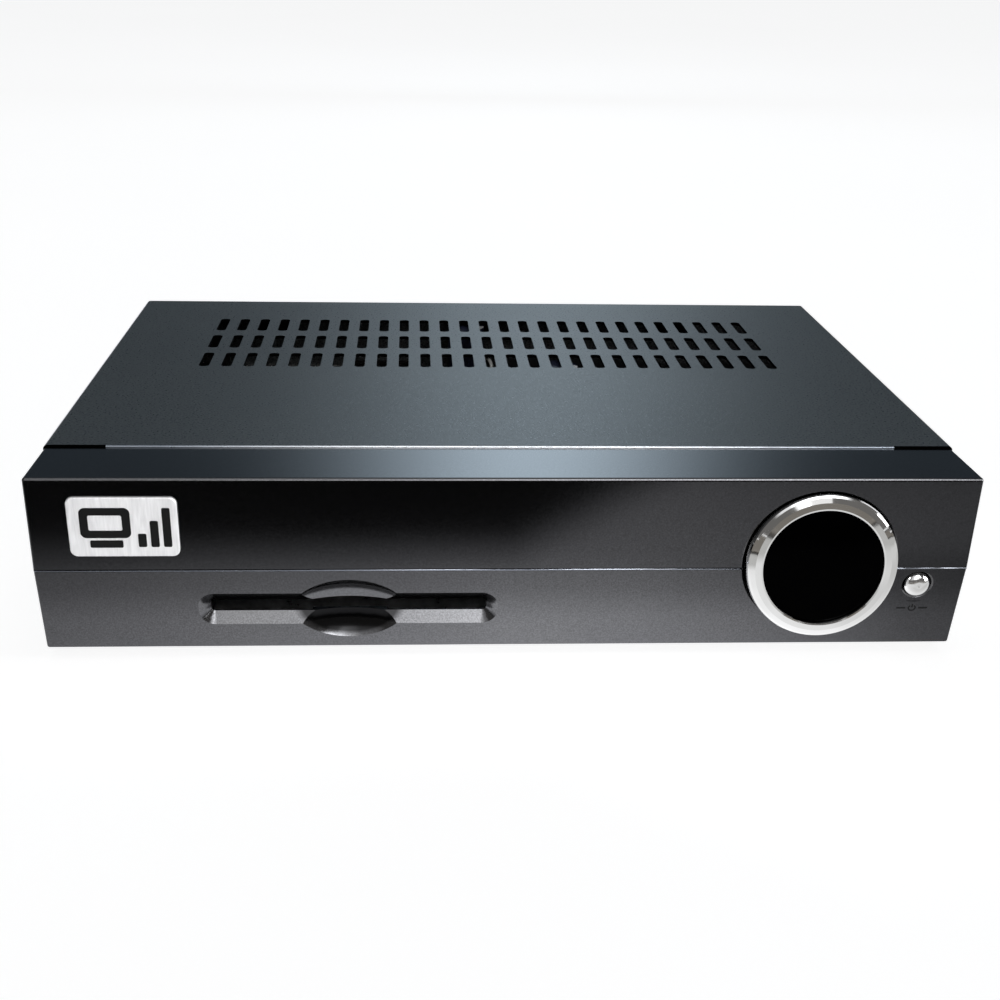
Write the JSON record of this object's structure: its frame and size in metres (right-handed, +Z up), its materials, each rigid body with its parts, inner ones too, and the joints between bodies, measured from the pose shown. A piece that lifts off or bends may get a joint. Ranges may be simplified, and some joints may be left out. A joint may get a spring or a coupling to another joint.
{
  "type": "set-top receiver",
  "caption": "Low metal-cased television receiver with a moulded sloping front, card slot with finger scoop, round chrome-ringed window and standby button.",
  "frame": {"origin": "on the supporting surface, at the middle of the overall width and depth", "axes": "+X to the viewer's right, the front faces -Y, +Z up"},
  "size_m": [0.19, 0.161, 0.0429],
  "materials": {
    "textured_paint": "fine-textured anthracite powder coat",
    "satin_paint": "satin anthracite metallic lacquer",
    "zinc_steel": "zinc-plated",
    "tin_plate": "tin-plated sheet",
    "bright_chrome": "polished",
    "dark_window": "polished black",
    "black_plastic": "moulded",
    "white_plastic": "moulded",
    "satin_silver": "satin",
    "black_print": "printed",
    "rubber": "matt",
    "black_screw": "black zinc",
    "circuit_board": "solder mask",
    "brass": "turned",
    "gold": "gold flash",
    "nickel": "nickel-plated",
    "aluminium": "extruded",
    "capacitor_sleeve": "shrink sleeve",
    "display_red": "moulded",
    "shutter_grey": "moulded"
  },
  "bodies": {
    "case": {"top_cover": "textured_paint", "base_tray": "zinc_steel", "rear_panel": "textured_paint", "front_bezel": "satin_paint", "window_ring": "bright_chrome", "display_window": "dark_window", "window_housing": "black_plastic", "tact_switch": "black_plastic", "badge_plate": "satin_silver", "badge_emblem": "black_print", "rubber_feet": "rubber", "cover_screws": "black_screw", "panel_screws": "black_screw", "main_board": "circuit_board", "board_standoffs": "brass", "board_screws": "zinc_steel", "front_board": "circuit_board", "front_board_screws": "zinc_steel", "segment_display": "display_red", "ir_receiver": "dark_window", "board_link_header": "white_plastic", "card_reader_frame": "black_plastic", "card_contacts": "gold", "processor": "black_plastic", "heatsink": "aluminium", "memory_chips": "black_plastic", "small_chips": "black_plastic", "electrolytic_capacitors": "capacitor_sleeve", "power_inductors": "black_plastic", "crystal": "zinc_steel", "tuner_can": "tin_plate", "tuner_lid": "tin_plate", "lnb_input_connector": "nickel", "lnb_loop_connector": "nickel", "aerial_insulators": "white_plastic", "connector_nuts": "nickel", "scart_socket": "black_plastic", "scart_contacts": "gold", "ethernet_jack": "black_plastic", "ethernet_contacts": "gold", "serial_port_shell": "nickel", "serial_port_insert": "black_plastic", "jack_screws": "nickel", "optical_output": "black_plastic", "dc_jack": "black_plastic", "dc_pin": "nickel", "rocker_frame": "black_plastic", "rocker_terminals": "nickel"},
    "button": {"standby_button": "bright_chrome", "tact_plunger": "black_plastic"},
    "rocker": {"power_rocker": "black_plastic"},
    "shutter": {"optical_shutter": "shutter_grey"}
  },
  "joints": [
    {"name": "standby_press", "type": "slide", "parent": "case", "child": "button", "axis": [0, 1, 0], "range_m": [0, 0.0005], "stiffness_N_per_m": 1500, "springref_m": -0.0004},
    {"name": "rocker_tilt", "type": "hinge", "parent": "case", "child": "rocker", "pos_m": [-0.082, 0.0659, 0.0324], "axis": [0, 0, -1], "range_deg": [0, 22]},
    {"name": "shutter_swing", "type": "hinge", "parent": "case", "child": "shutter", "pos_m": [-0.008, 0.0679, 0.0203], "axis": [-1, 0, 0], "range_deg": [0, 78], "stiffness_Nm_per_rad": 0.001, "springref_deg": -28.65}
  ]
}
